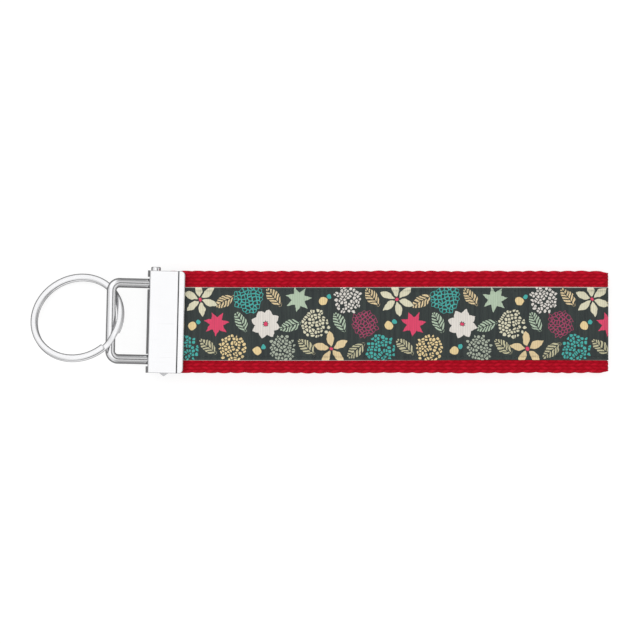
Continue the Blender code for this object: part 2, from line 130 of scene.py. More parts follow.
def upper_inner_z(x):
    """Height of the upper layer's inner face: level in the clamp, a low arch, then the fold."""
    start = CLAMP_HEIGHT + LAYER_GAP / 2
    end = FOLD_Z + FOLD_INNER_R
    run = FOLD_X - MOUTH_X
    top = end + STRAP_BULGE
    knots = [(END_X - 1, start), (MOUTH_X + 0.7, start)]
    knots += [(MOUTH_X + 0.10 * run, start + 0.45 * (top - start)), (MOUTH_X + 0.38 * run, top)]
    knots += [(MOUTH_X + 0.66 * run, end + 0.70 * STRAP_BULGE)]
    knots += [(MOUTH_X + 0.88 * run, end + 0.17 * STRAP_BULGE), (FOLD_X, end)]
    return smooth_through(knots, x)


def lower_inner_z(x):
    """Height of the lower layer's inner face: level in the clamp, then down on to the table."""
    start = CLAMP_HEIGHT - LAYER_GAP / 2
    end = FOLD_Z - FOLD_INNER_R
    run = FOLD_X - MOUTH_X
    knots = [(END_X - 1, start), (MOUTH_X + 0.7, start)]
    knots += [(MOUTH_X + 0.085 * run, end + 0.42 * (start - end)), (MOUTH_X + 0.21 * run, end)]
    knots += [(FOLD_X, end)]
    return smooth_through(knots, x)


def strap_course(step):
    """The strap's way from one end to the other, seen from the side, as evenly spaced rows:
    (x, z) of the webbing's inner face, the outward normal, the thickness, and the length run
    along the outer face since the clamp's mouth. It goes along the upper layer, half round a
    circle at the fold, and back along the lower layer.
    """
    x = np.linspace(END_X, FOLD_X, 6000)
    turn = np.linspace(np.pi / 2, -np.pi / 2, 240)[1:-1]
    line_x = np.concatenate([x, FOLD_X + FOLD_INNER_R * np.cos(turn), x[::-1]])
    line_z = np.concatenate(
        [upper_inner_z(x), FOLD_Z + FOLD_INNER_R * np.sin(turn), lower_inner_z(x)[::-1]]
    )
    dx, dz = np.gradient(line_x), np.gradient(line_z)
    size = np.hypot(dx, dz)
    nx, nz = -dz / size, dx / size
    thick = webbing_thickness(line_x)
    outer = np.hypot(np.diff(line_x + nx * thick), np.diff(line_z + nz * thick))
    run = np.concatenate([[0.0], np.cumsum(outer)])
    rows = np.linspace(0.0, run[-1], int(run[-1] / step) + 1)
    found = [np.interp(rows, run, each) for each in (line_x, line_z, nx, nz, thick)]
    mouth = np.interp(MOUTH_X, line_x[:6000], run[:6000])
    return (*found, rows - mouth)


def closed_object(name, mesh):
    """A linked object with the mesh, its faces smooth and turned outwards."""
    shape = bmesh.new()
    shape.from_mesh(mesh)
    if shape.calc_volume(signed=True) < 0:
        bmesh.ops.reverse_faces(shape, faces=shape.faces)
    shape.to_mesh(mesh)
    shape.free()
    mesh.shade_smooth()
    made = bpy.data.objects.new(name, mesh)
    bpy.context.scene.collection.objects.link(made)
    return made


def strip_mesh(name, course, y, out, attribute):
    """A closed strip: every row of the course carries the section's points, y across and out from
    the webbing's inner face, one array row for each course row; the ends are closed flat. The
    attribute "lay" holds (length run, y, attribute) in mm, and the UV map lays the strip out in
    four stacked lengths.
    """
    x, z, nx, nz, _, run = course
    rows, count = y.shape
    points = np.stack([x[:, None] + nx[:, None] * out, y + MID_Y, z[:, None] + nz[:, None] * out])
    points = points.transpose(1, 2, 0).reshape(-1, 3) * MM
    i, j = np.meshgrid(np.arange(rows - 1), np.arange(count), indexing="ij")
    k = (j + 1) % count
    quads = np.stack([i * count + j, (i + 1) * count + j, (i + 1) * count + k, i * count + k], -1)
    quads = quads.reshape(-1, 4)
    caps = [list(range(count)), list(range((rows - 1) * count, rows * count))[::-1]]
    mesh = bpy.data.meshes.new(name)
    mesh.from_pydata(points.tolist(), [], quads.tolist() + caps)
    lay = np.stack([np.repeat(run, count), y.ravel(), attribute.ravel()], -1)
    store = mesh.attributes.new("lay", "FLOAT_VECTOR", "POINT")
    store.data.foreach_set("vector", lay.astype(np.float32).ravel())
    share = (i.ravel() + 0.0) / (rows - 1)
    step = 1.0 / (rows - 1)
    lane = np.minimum(np.floor(share * 4), 3)
    along = np.stack([share, share + step, share + step, share], -1) * 4 - lane[:, None]
    around = np.stack([j, j, j + 1, j + 1], -1).reshape(-1, 4) / count
    uv = np.zeros((len(mesh.loops), 2))
    uv[: quads.size, 0] = (along * 0.98 + 0.01).ravel()
    uv[: quads.size, 1] = ((lane[:, None] + 0.02 + around * 0.96) / 4).ravel()
    mesh.uv_layers.new(name="OFBake")
    mesh.uv_layers["OFBake"].data.foreach_set("uv", uv.ravel())
    return closed_object(name, mesh)


def webbing_section():
    """Points round the webbing, and which way each faces: (y, share of thickness, y normal,
    out normal). Columns are close together on the margins outside the ribbon, wide apart under
    it, and two to each yarn on the inner face; both edges are half circles drawn out.
    """
    pitch = WEBBING_WIDTH / YARNS
    half = WEBBING_WIDTH / 2
    edge = 0.55
    margin = np.arange(0.75, 4.6, 1 / 6) * pitch - half
    far_margin = half - (np.arange(0.75, 5.6, 1 / 6) * pitch)[::-1]
    middle = np.linspace(margin[-1], far_margin[0], 12)[1:-1]
    outer = np.concatenate([margin, middle, far_margin])
    inner = (np.arange(0.75, YARNS - 0.7, 0.5) * pitch - half)[::-1]
    turn = np.linspace(np.pi / 2, -np.pi / 2, 9)
    side_y = half - edge + edge * np.cos(turn)
    side_out = 0.5 + 0.5 * np.sin(turn)
    y = np.concatenate([outer, side_y, inner, -side_y[::-1]])
    out = np.concatenate([np.ones(len(outer)), side_out, np.zeros(len(inner)), side_out[::-1]])
    across = np.concatenate([outer * 0, np.cos(turn), inner * 0, -np.cos(turn)[::-1]])
    outward = np.concatenate(
        [np.ones(len(outer)), np.sin(turn), -np.ones(len(inner)), np.sin(turn)[::-1]]
    )
    return y, out, across, outward


def weave_height(run, y, face):
    """How high the cloth stands at a place, from -1 in a gap to 0 on a yarn. Each yarn is a
    rounded ridge, and dips under at every FLOAT, slanting one way and the next yarn the other;
    its neighbours dip half a float further on.
    """
    wander = 0.06 * np.sin(run * 0.73 + y * 0.9) + 0.04 * np.sin(run * 1.9 - y * 0.5)
    place = (y + WEBBING_WIDTH / 2) / (WEBBING_WIDTH / YARNS) + wander * (np.abs(y) < 15)
    yarn = np.floor(np.clip(place, 0, YARNS - 0.001))
    side = place - yarn - 0.5
    ridge = 0.3 + 0.7 * np.abs(np.cos(np.pi * side)) ** 0.7
    ridge = np.where((place < 0.9) | (place > YARNS - 0.9), 1.0, ridge)
    drift = 0.13 * np.sin(yarn * 2.1) + 0.09 * np.sin(run * 0.31 + yarn * 1.7)
    slant = 0.55 * side * np.where(yarn % 2 > 0, 1, -1)
    float_place = run / FLOAT + yarn / 2 + drift + slant + np.where(face < 0, 0.5, 0.0)
    arch = np.abs(np.cos(np.pi * (float_place - np.floor(float_place) - 0.5))) ** 0.5
    uneven = 0.86 + 0.14 * np.sin(yarn * 4.7 + np.floor(float_place) * 2.9)
    return ridge * (0.35 + 0.65 * arch) * uneven - 1


course = strap_course(WEBBING_STEP)
section_y, section_out, section_across, section_outward = webbing_section()
run_grid = np.repeat(course[5][:, None], len(section_y), 1)
height = weave_height(run_grid, section_y[None, :], section_outward[None, :])
rise = 0.06 + WEAVE_DEPTH * height
sway = 0.07 * np.sin(run_grid * 0.12) + 0.05 * np.sin(run_grid * 0.41 + 1.0)
loop_phase = np.pi * run_grid / EDGE_LOOP + 0.4 * np.sin(run_grid * 0.17)
loops = np.abs(np.cos(loop_phase)) ** 0.8 - 0.75
web_y = section_y + section_across * EDGE_WAVE * loops + sway * np.abs(section_across)
web_out = section_out * course[4][:, None] + section_outward * rise
fold_run = (run_grid - (course[5][0] + course[5][-1]) / 2) / FOLD_REACH
beside = np.abs(section_y - RIBBON_MIDDLE) > RIBBON_WIDTH / 2 + 0.2
web_out += MARGIN_BULGE * np.exp(-(fold_run**2)) * beside * (section_outward > 0)
web_y -= section_across * CORNER_PULL * np.exp(-((2 * fold_run) ** 2))
webbing = strip_mesh("webbing_strip", course, web_y, web_out, height)


def linear(red, green, blue):
    """A colour given as it looks on a screen, 0 to 255, as linear light: the standard curve."""
    parts = [c / 255 for c in (red, green, blue)]
    parts = [c / 12.92 if c <= 0.04045 else ((c + 0.055) / 1.055) ** 2.4 for c in parts]
    return (*parts, 1.0)


def calc(tree, operation, *values, clamp=False):
    """The output of one Math node; each value is a number or another node's output."""
    node = tree.nodes.new("ShaderNodeMath")
    node.operation = operation
    node.use_clamp = clamp
    for socket, value in zip(node.inputs, values):
        if isinstance(value, (int, float)):
            socket.default_value = value
        else:
            tree.links.new(value, socket)
    return node.outputs[0]


def vector_calc(tree, operation, *values):
    """The output of one Vector Math node, a number for a length or a dot product and a vector
    otherwise; a value is a triple or another output.
    """
    node = tree.nodes.new("ShaderNodeVectorMath")
    node.operation = operation
    for socket, value in zip(node.inputs, values):
        if isinstance(value, (tuple, list)):
            socket.default_value = value
        else:
            tree.links.new(value, socket)
    return node.outputs[1 if operation in ("LENGTH", "DOT_PRODUCT") else 0]


def split_xyz(tree, vector):
    """The three parts of a vector."""
    node = tree.nodes.new("ShaderNodeSeparateXYZ")
    tree.links.new(vector, node.inputs[0])
    return node.outputs


def stretched(tree, vector, scale, turn=(0.0, 0.0, 0.0)):
    """A vector turned and scaled by a Mapping node."""
    node = tree.nodes.new("ShaderNodeMapping")
    node.inputs["Rotation"].default_value = turn
    node.inputs["Scale"].default_value = scale
    tree.links.new(vector, node.inputs["Vector"])
    return node.outputs[0]


def blend_colour(tree, factor, first, second):
    """The output of one Mix node between two colours, each a tuple or another output."""
    node = tree.nodes.new("ShaderNodeMix")
    node.data_type = "RGBA"
    for place, value in ((0, factor), (6, first), (7, second)):
        if isinstance(value, (int, float, tuple)):
            node.inputs[place].default_value = value
        else:
            tree.links.new(value, node.inputs[place])
    return node.outputs[2]


def noise(tree, vector, scale, detail=3.0, rough=0.5):
    """The value of one Noise texture, 0 to 1."""
    node = tree.nodes.new("ShaderNodeTexNoise")
    node.inputs["Scale"].default_value = scale
    node.inputs["Detail"].default_value = detail
    node.inputs["Roughness"].default_value = rough
    tree.links.new(vector, node.inputs["Vector"])
    return node.outputs[0]


def new_group(name, inputs, outputs):
    """An empty shader group: (its tree, its input node's outputs, its output node's inputs)."""
    tree = bpy.data.node_groups.new(name, "ShaderNodeTree")
    for label, kind, value in inputs:
        socket = tree.interface.new_socket(label, in_out="INPUT", socket_type=kind)
        if value is not None:
            socket.default_value = value
    for label, kind in outputs:
        tree.interface.new_socket(label, in_out="OUTPUT", socket_type=kind)
    start = tree.nodes.new("NodeGroupInput")
    end = tree.nodes.new("NodeGroupOutput")
    return tree, start.outputs, end.inputs


def put_group(tree, group, values):
    """The outputs of a group placed in a tree, with its inputs set by label."""
    node = tree.nodes.new("ShaderNodeGroup")
    node.node_tree = group
    for label, value in values.items():
        if isinstance(value, (int, float, tuple)):
            node.inputs[label].default_value = value
        else:
            tree.links.new(value, node.inputs[label])
    return node.outputs


def new_material(name, **settings):
    """A material with its Principled shader's plain inputs set: (material, tree, shader)."""
    made = bpy.data.materials.new(name)
    made.use_nodes = True
    shader = made.node_tree.nodes["Principled BSDF"]
    for label, value in settings.items():
        shader.inputs[label.replace("_", " ")].default_value = value
    return made, made.node_tree, shader


def lay_vector(tree):
    """The strip's own coordinates: length run, y across, and the height of the cloth."""
    node = tree.nodes.new("ShaderNodeAttribute")
    node.attribute_name = "lay"
    return node.outputs["Vector"]


def bump(tree, shader, height, distance, strength=1.0):
    """A Bump node from a height to a shader's normal."""
    node = tree.nodes.new("ShaderNodeBump")
    node.inputs["Strength"].default_value = strength
    node.inputs["Distance"].default_value = distance
    tree.links.new(height, node.inputs["Height"])
    tree.links.new(node.outputs[0], shader.inputs["Normal"])


def yarn_fibres():
    """Group: fine fibres that run along a yarn with a slight twist, and a broad uneven tone."""
    tree, given, wanted = new_group(
        "yarn_fibres",
        [("Vector", "NodeSocketVector", None), ("Twist", "NodeSocketFloat", 0.35)],
        [("Fibres", "NodeSocketFloat"), ("Tone", "NodeSocketFloat")],
    )
    along, across, _ = split_xyz(tree, given["Vector"])
    slant = calc(tree, "MULTIPLY_ADD", along, given["Twist"], across)
    drawn = tree.nodes.new("ShaderNodeCombineXYZ")
    tree.links.new(calc(tree, "MULTIPLY", along, 0.7), drawn.inputs[0])
    tree.links.new(calc(tree, "MULTIPLY", slant, 7.0), drawn.inputs[1])
    tree.links.new(noise(tree, drawn.outputs[0], 1.6, 3.0, 0.6), wanted["Fibres"])
    tree.links.new(noise(tree, given["Vector"], 0.35, 4.0, 0.6), wanted["Tone"])
    return tree


def webbing_look():
    """Red spun polyester: fibres along each yarn, painted shade where a yarn dips into the gaps of
    the weave, faint uneven dye.
    """
    made, tree, shader = new_material("webbing_red", Roughness=0.78)
    shader.inputs["Sheen Weight"].default_value = 0.02
    shader.inputs["Sheen Roughness"].default_value = 0.4
    shader.inputs["Sheen Tint"].default_value = linear(255, 120, 130)
    shader.inputs["Specular IOR Level"].default_value = 0.08
    lay = lay_vector(tree)
    fibres = put_group(tree, FIBRES, {"Vector": lay, "Twist": 0.35})
    # Painted shade: the colour darkens where the cloth's height drops into the gaps between yarns.
    weave_gap_shade = calc(tree, "MULTIPLY_ADD", split_xyz(tree, lay)[2], 1.15, 1.0, clamp=True)
    light = calc(tree, "MULTIPLY_ADD", fibres[0], 1.3, 0.05)
    light = calc(tree, "MULTIPLY", weave_gap_shade, light, clamp=True)
    red = blend_colour(tree, light, linear(168, 4, 28), linear(212, 24, 50))
    tone = calc(tree, "MULTIPLY_ADD", fibres[1], 0.5, 0.0, clamp=True)
    red = blend_colour(tree, tone, red, linear(182, 10, 36))
    # Painted shade: the deepest gaps of the weave go to a dark red.
    red = blend_colour(tree, weave_gap_shade, linear(138, 2, 18), red)
    tree.links.new(red, shader.inputs["Base Color"])
    bump(tree, shader, fibres[0], 0.06 * MM, 0.8)
    return made


FIBRES = yarn_fibres()
webbing.data.materials.append(webbing_look())
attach(webbing, "strap")
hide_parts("webbing")

# ---- Ribbon ----
# One length of 7/8 in polyester grosgrain, ribbed across and printed with small flowers and
# leaves on dark slate. It is sewn round the outside of the webbing along both its edges.

RIB = 0.55                  # between ribs
RIB_DEPTH = 0.07
SEAM_INSET = 1.15
STITCH = 2.6                # length of one stitch
REPEAT = 61.2               # length of one repeat of the print
ROW_GAP = 7.7               # between the print's middle row and the rows beside it
ROW_ZIGZAG = 0.6            # of the leaves and dots to either side of their row
LEAF_SIZE = 3.7             # from a leaf's middle to its tip
HEAD_TURN = 0.37            # radians between one head and the next
SEAMS = (-RIBBON_WIDTH / 2 + SEAM_INSET, RIBBON_WIDTH / 2 - SEAM_INSET)


def ribbon_height(run, y):
    """How far the outer face lies below full height: round ribs that die out in the selvedges,
    and a shallow dimple at each needle hole of both seams.
    """
    rib = np.abs(np.cos(np.pi * run / RIB)) ** 0.8 - 1
    body = np.clip((RIBBON_WIDTH / 2 - 0.35 - np.abs(y)) / 0.3, 0.15, 1)
    hole = np.exp(-(((run / STITCH) - np.round(run / STITCH)) * STITCH / 0.5) ** 2)
    near = np.minimum(np.abs(y - SEAMS[0]), np.abs(y - SEAMS[1]))
    return RIB_DEPTH * rib * body - (0.03 + 0.04 * hole) * np.exp(-((near / 0.3) ** 2))


ribbon_course = strap_course(RIB / 4)
half = RIBBON_WIDTH / 2
rib_y = np.concatenate([[-half, -half + 0.12, -half + 0.4], SEAMS[0] + np.array([-0.35, 0, 0.35]),
                        np.linspace(SEAMS[0] + 1.5, 0, 5)])
rib_y = np.concatenate([rib_y, -rib_y[:-1][::-1]])
under_y = np.array([half, half - 0.6, 0, -half + 0.6, -half])
top = np.repeat(rib_y[None, :], len(ribbon_course[5]), 0)
ribs = ribbon_height(ribbon_course[5][:, None], top)
base = ribbon_course[4][:, None] + FABRIC_GAP
top_out = base + RIBBON_T + ribs
top_out[:, [0, -1]] -= 0.1
under = np.repeat(under_y[None, :], len(top), 0)
under_out = base - 0.02 + under * 0
wander = 0.1 * np.sin(ribbon_course[5] * 0.021 + 0.5) - 0.12 * np.sin(ribbon_course[5] * 0.043)
ribbon_y = np.concatenate([top, under], 1) + RIBBON_MIDDLE + wander[:, None]
ribbon_out = np.concatenate([top_out, under_out], 1)
rib_marks = np.concatenate([ribs / RIB_DEPTH, under * 0 - 0.5], 1)
ribbon = strip_mesh("ribbon_strip", ribbon_course, ribbon_y, ribbon_out, rib_marks)


def motif_group(name, extra, build):
    """Group for one printed motif: it moves, turns and scales the strip's coordinates on to the
    motif, wrapped to the print's repeat, and gives a mask; build makes the mask's own nodes.
    """
    inputs = [("Vector", "NodeSocketVector", None), ("Place", "NodeSocketVector", None)]
    inputs += [("Turn", "NodeSocketFloat", 0.0), ("Size", "NodeSocketFloat", 1.0)]
    inputs += [(label, "NodeSocketFloat", value) for label, value in extra]
    tree, given, wanted = new_group(name, inputs, [("Mask", "NodeSocketFloat")])
    local = vector_calc(tree, "SUBTRACT", given["Vector"], given["Place"])
    far = REPEAT / 2
    local = vector_calc(tree, "WRAP", local, (far, 900, 900), (-far, -900, -900))
    turned = tree.nodes.new("ShaderNodeVectorRotate")
    turned.rotation_type = "Z_AXIS"
    tree.links.new(local, turned.inputs["Vector"])
    tree.links.new(given["Turn"], turned.inputs["Angle"])
    scaled = tree.nodes.new("ShaderNodeVectorMath")
    scaled.operation = "SCALE"
    tree.links.new(turned.outputs[0], scaled.inputs[0])
    tree.links.new(calc(tree, "DIVIDE", 1.0, given["Size"]), scaled.inputs["Scale"])
    flat = vector_calc(tree, "MULTIPLY", scaled.outputs[0], (1, 1, 0))
    sharp = calc(tree, "MULTIPLY", given["Size"], 14.0)
    tree.links.new(build(tree, flat, sharp, given), wanted["Mask"])
    return tree


def edge_mask(tree, inside, sharp):
    """1 inside, 0 outside, from a distance that is positive inside."""
    return calc(tree, "MULTIPLY_ADD", inside, sharp, 0.5, clamp=True)


def wedge_parts(tree, flat, count):
    """(x, |y|) in a wedge that repeats count times round the motif's middle."""
    x, y, _ = split_xyz(tree, flat)
    angle = calc(tree, "ARCTAN2", y, x)
    half_wedge = calc(tree, "DIVIDE", math.pi, count)
    back = calc(tree, "MULTIPLY", half_wedge, -1.0)
    angle = calc(tree, "WRAP", angle, half_wedge, back)
    reach = vector_calc(tree, "LENGTH", flat)
    x = calc(tree, "MULTIPLY", reach, calc(tree, "COSINE", angle))
    y = calc(tree, "MULTIPLY", reach, calc(tree, "SINE", angle))
    return x, calc(tree, "ABSOLUTE", y)


def petals(tree, flat, sharp, given):
    """Pointed petals: in each wedge, half-width = Slim times 4u(1 - u), u along the petal."""
    x, y = wedge_parts(tree, flat, given["Count"])
    u = calc(tree, "MULTIPLY_ADD", x, 1.16, -0.16)
    arch = calc(tree, "MULTIPLY", u, calc(tree, "SUBTRACT", 1.0, u))
    wide = calc(tree, "MULTIPLY", arch, calc(tree, "MULTIPLY", given["Slim"], 4.0))
    return edge_mask(tree, calc(tree, "SUBTRACT", wide, y), sharp)


def star(tree, flat, sharp, given):
    """Points with straight sides: inside where x + Slim |y| < 1 in each wedge."""
    x, y = wedge_parts(tree, flat, given["Count"])
    far = calc(tree, "MULTIPLY_ADD", y, given["Slim"], x)
    return edge_mask(tree, calc(tree, "SUBTRACT", 1.0, far), calc(tree, "MULTIPLY", sharp, 0.5))


def pebbles(tree, flat, sharp, given):
    """A round head of rounded cells: Voronoi cells whose middles lie inside the head, each drawn
    from Gap to Hollow in from its border and no further out than Round, so that a negative Gap
    with a small Hollow leaves a net, and a small Round makes pebbles.
    """
    shift = tree.nodes.new("ShaderNodeCombineXYZ")
    tree.links.new(given["Seed"], shift.inputs[0])
    tree.links.new(given["Seed"], shift.inputs[1])
    moved = vector_calc(tree, "ADD", flat, shift.outputs[0])
    cells = []
    for feature in ("F1", "DISTANCE_TO_EDGE"):
        cell = tree.nodes.new("ShaderNodeTexVoronoi")
        cell.voronoi_dimensions = "2D"
        cell.feature = feature
        cell.inputs["Randomness"].default_value = 0.75
        tree.links.new(moved, cell.inputs["Vector"])
        tree.links.new(given["Cells"], cell.inputs["Scale"])
        cells.append(cell)
    middle = vector_calc(tree, "SUBTRACT", cells[0].outputs["Position"], shift.outputs[0])
    inside = calc(tree, "LESS_THAN", vector_calc(tree, "LENGTH", middle), 0.92)
    border = calc(tree, "DIVIDE", cells[1].outputs["Distance"], given["Cells"])
    outer = edge_mask(tree, calc(tree, "SUBTRACT", border, given["Gap"]), sharp)
    hollow = edge_mask(tree, calc(tree, "SUBTRACT", given["Hollow"], border), sharp)
    round_off = calc(tree, "SUBTRACT", given["Round"], cells[0].outputs["Distance"])
    round_off = edge_mask(tree, calc(tree, "DIVIDE", round_off, given["Cells"]), sharp)
    kept = calc(tree, "MULTIPLY", inside, calc(tree, "MULTIPLY", outer, hollow))
    return calc(tree, "MULTIPLY", kept, round_off)


def leaf(tree, flat, sharp, given):
    """A pointed leaf cut by slanting veins: half-width = Slim (1 - x squared), minus a midrib and
    a stripe each time x + 0.9 |y| passes a vein.
    """
    x, y, _ = split_xyz(tree, flat)
    y = calc(tree, "ABSOLUTE", y)
    wide = calc(tree, "MULTIPLY", x, x)
    wide = calc(tree, "MULTIPLY", calc(tree, "SUBTRACT", 1.0, wide), given["Slim"])
    body = edge_mask(tree, calc(tree, "SUBTRACT", wide, y), sharp)
    rib = edge_mask(tree, calc(tree, "SUBTRACT", y, 0.035), sharp)
    along = calc(tree, "MULTIPLY_ADD", y, 0.9, x)
    vein = calc(tree, "PINGPONG", calc(tree, "MULTIPLY", along, given["Veins"]), 0.5)
    vein = calc(tree, "MULTIPLY", calc(tree, "SUBTRACT", vein, 0.21), 0.25)
    return calc(tree, "MULTIPLY", body, calc(tree, "MULTIPLY", rib, edge_mask(tree, vein, sharp)))


def dot(tree, flat, sharp, given):
    """A round dot: inside where the distance from its middle is under 1."""
    reach = vector_calc(tree, "LENGTH", flat)
    return edge_mask(tree, calc(tree, "SUBTRACT", 1.0, reach), sharp)


PETALS = motif_group("print_petals", [("Count", 6.0), ("Slim", 0.3)], petals)
STAR = motif_group("print_star", [("Count", 7.0), ("Slim", 2.2)], star)
PEBBLES = motif_group(
    "print_pebbles",
    [("Cells", 4.0), ("Gap", 0.03), ("Hollow", 9.0), ("Round", 0.6), ("Seed", 0.0)],
    pebbles,
)
LEAF = motif_group("print_leaf", [("Veins", 3.4), ("Slim", 0.48)], leaf)
DOT = motif_group("print_dot", [], dot)

MINT = linear(182, 201, 176)
CREAM = linear(226, 221, 192)
WHITE = linear(230, 224, 216)
PINK = linear(226, 66, 105)
YELLOW = linear(230, 206, 160)
BEIGE = linear(238, 212, 156)
SAND = linear(200, 194, 158)
SAGE = linear(176, 184, 166)
MAGENTA = linear(168, 62, 100)
TEAL = linear(70, 178, 170)


def print_marks():
    """Every motif of one repeat, lowest first: group, (length, across), turn, size, colour, and
    the group's own values. Twelve heads stand an even pitch apart along the ribbon, in three rows
    taken in turn; a leaf or dots fill the gap half way to the next head of the same row.
    """
    pebble = {"Cells": 4.4, "Gap": 0.03, "Round": 0.46}
    net = {"Cells": 4.2, "Gap": -9.0, "Hollow": 0.033, "Round": 9.0}
    heads = [
        (PEBBLES, 4.9, TEAL, {**pebble, "Seed": 2.0}),
        (PETALS, 5.6, CREAM, {"Count": 6.0, "Slim": 0.19}),
        (STAR, 4.0, PINK, {"Count": 7.0, "Slim": 2.2}),
        (PEBBLES, 4.6, BEIGE, {**pebble, "Seed": 9.1}),
        (PEBBLES, 4.7, TEAL, {**net, "Seed": 38.6}),
        (PETALS, 4.6, WHITE, {"Count": 8.0, "Slim": 0.3}),
        (PEBBLES, 4.6, SAGE, {**pebble, "Seed": 14.4}),
        (STAR, 4.1, MINT, {"Count": 7.0, "Slim": 2.4}),
        (PEBBLES, 4.8, CREAM, {**pebble, "Seed": 30.2}),
        (PETALS, 5.6, YELLOW, {"Count": 5.0, "Slim": 0.2}),
        (PEBBLES, 4.7, WHITE, {**pebble, "Seed": 21.7}),
        (PEBBLES, 4.4, MAGENTA, {**net, "Seed": 44.9}),
    ]
    pitch = REPEAT / len(heads)
    rows = (-ROW_GAP, ROW_GAP, 0.0)
    leaf_colours = (SAND, YELLOW, MINT)
    marks = []
    for k in range(len(heads)):
        gap = ((k + 1.5) * pitch % REPEAT, rows[k % 3] + ROW_ZIGZAG * (-1) ** k)
        if k % 4 == 3:
            marks.append((DOT, gap, 0.0, 1.3, BEIGE, {}))
            marks.append((DOT, (gap[0] + 1.9, gap[1] + 1.3), 0.0, 0.7, TEAL, {}))
        else:
            turn = 0.7 * (-1) ** k + 0.2 * (k % 3)
            marks.append((LEAF, gap, turn, LEAF_SIZE, leaf_colours[k % 3], {}))
    for k, (group, size, colour, values) in enumerate(heads):
        place = (k * pitch, rows[k % 3])
        marks.append((group, place, HEAD_TURN * k, size, colour, values))
        if group == PETALS:
            marks.append((DOT, place, 0.0, 0.55, PINK, {}))
    return marks


def ribbon_look():
    """Printed grosgrain: the motifs laid one over another, painted shade in the ribs' grooves that
    is stronger or weaker with the ink's streaks, pale woven edges, and fine threads across.
    """
    made, tree, shader = new_material("ribbon_print", Roughness=0.62)
    shader.inputs["Specular IOR Level"].default_value = 0.3
    shader.inputs["Sheen Weight"].default_value = 0.05
    lay = lay_vector(tree)
    _, across, cloth_height = split_xyz(tree, lay)
    centred = vector_calc(tree, "SUBTRACT", lay, (0.0, RIBBON_MIDDLE, 0.0))
    plane = vector_calc(tree, "MULTIPLY", centred, (1, 1, 0))
    wobble = tree.nodes.new("ShaderNodeTexNoise")
    wobble.inputs["Scale"].default_value = 0.55
    wobble.inputs["Detail"].default_value = 1.0
    tree.links.new(plane, wobble.inputs["Vector"])
    shake = vector_calc(tree, "SUBTRACT", wobble.outputs["Color"], (0.5, 0.5, 0.5))
    shake = vector_calc(tree, "MULTIPLY", shake, (0.9, 0.9, 0.0))
    drawn = vector_calc(tree, "ADD", plane, shake)
    streaks = noise(tree, stretched(tree, plane, (1.0, 0.06, 0.0)), 1.1, 4.0, 0.7)
    streaks = calc(tree, "MULTIPLY_ADD", streaks, 1.9, -0.45, clamp=True)
    ink = blend_colour(tree, streaks, linear(26, 33, 36), linear(56, 65, 61))
    for group, place, turn, size, colour, values in print_marks():
        settings = {"Vector": drawn, "Place": (*place, 0.0), "Turn": turn, "Size": size, **values}
        ink = blend_colour(tree, put_group(tree, group, settings)[0], ink, colour)
    # Painted shade: from the cloth's height, the ink darkens towards near-black in the ribs'
    # grooves.
    rib = calc(tree, "MULTIPLY_ADD", cloth_height, 0.6, 1.0, clamp=True)
    uneven = calc(tree, "MULTIPLY_ADD", streaks, 0.5, 0.68, clamp=True)
    shaded = blend_colour(tree, 0.55, ink, (0.02, 0.025, 0.025, 1.0))
    ink = blend_colour(tree, calc(tree, "MULTIPLY", rib, uneven), shaded, ink)
    rim = calc(tree, "ABSOLUTE", calc(tree, "SUBTRACT", across, RIBBON_MIDDLE))
    rim = calc(tree, "SUBTRACT", rim, RIBBON_WIDTH / 2 - 0.14)
    rim = calc(tree, "MULTIPLY_ADD", rim, 9.0, 0.4, clamp=True)
    ink = blend_colour(tree, calc(tree, "MULTIPLY", rim, 0.75), ink, linear(212, 205, 196))
    tree.links.new(ink, shader.inputs["Base Color"])
    fine = stretched(tree, plane, (0.5, 6.0, 0.0))
    bump(tree, shader, noise(tree, fine, 1.5, 2.0), 0.03 * MM, 0.5)
    return made


ribbon.data.materials.append(ribbon_look())
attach(ribbon, "strap")
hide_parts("ribbon")

# ---- Seam threads ----
# Two lockstitched rows of clear nylon monofilament: a needle thread over the ribbon and a bobbin
# thread under the webbing on each side. Each dips into the cloth at every needle hole.

THREAD_D = 0.1


def thread_strip(name, seam, outside):
    """One round strand along the course: a circle of eight points whose middle rides on the cloth
    and sinks by a narrow bell at each stitch.
    """
    thick, run = seam_course[4:]
    turn = np.linspace(0, 2 * np.pi, 8, endpoint=False)[None, :]
    hole = np.exp(-(((run / STITCH) - np.round(run / STITCH)) * STITCH / 0.28) ** 2)
    if outside:
        middle = thick + FABRIC_GAP + RIBBON_T - 0.04 - 0.12 * hole
    else:
        middle = -0.01 + 0.14 * hole
    y = seam + RIBBON_MIDDLE + THREAD_D / 2 * np.cos(turn) + 0 * run[:, None]
    out = middle[:, None] + THREAD_D / 2 * np.sin(turn)
    return strip_mesh(name, seam_course, y, out, y * 0)


def thread_look():
    """Clear nylon: it lets the cloth show through, with a faint draw line along it."""
    made, tree, shader = new_material("clear_thread", Roughness=0.22)
    shader.inputs["Base Color"].default_value = (0.86, 0.88, 0.87, 1.0)
    shader.inputs["Transmission Weight"].default_value = 1.0
    shader.inputs["IOR"].default_value = 1.12
    line = noise(tree, stretched(tree, lay_vector(tree), (0.3, 9.0, 1.0)), 2.0)
    tree.links.new(calc(tree, "MULTIPLY_ADD", line, 0.25, 0.1), shader.inputs["Roughness"])
    bump(tree, shader, line, 0.01 * MM, 0.4)
    return made


seam_course = strap_course(STITCH / 10)
CLEAR_THREAD = thread_look()
for thread_name, seam, outside in (
    ("needle_thread_left", SEAMS[1], True),
    ("needle_thread_right", SEAMS[0], True),
    ("bobbin_thread_left", SEAMS[1], False),
    ("bobbin_thread_right", SEAMS[0], False),
):
    strand = thread_strip(thread_name + "_strand", seam, outside)
    strand.data.materials.append(CLEAR_THREAD)
    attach(strand, "strap")
    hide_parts(thread_name)

# ---- Clamp ----
# One sheet of 0.75 mm steel folded into a hairpin and nickel plated. A pressed crease runs behind
# each lip, the lips' teeth bite the strap, and two slots in the fold pass the wire loop's legs.

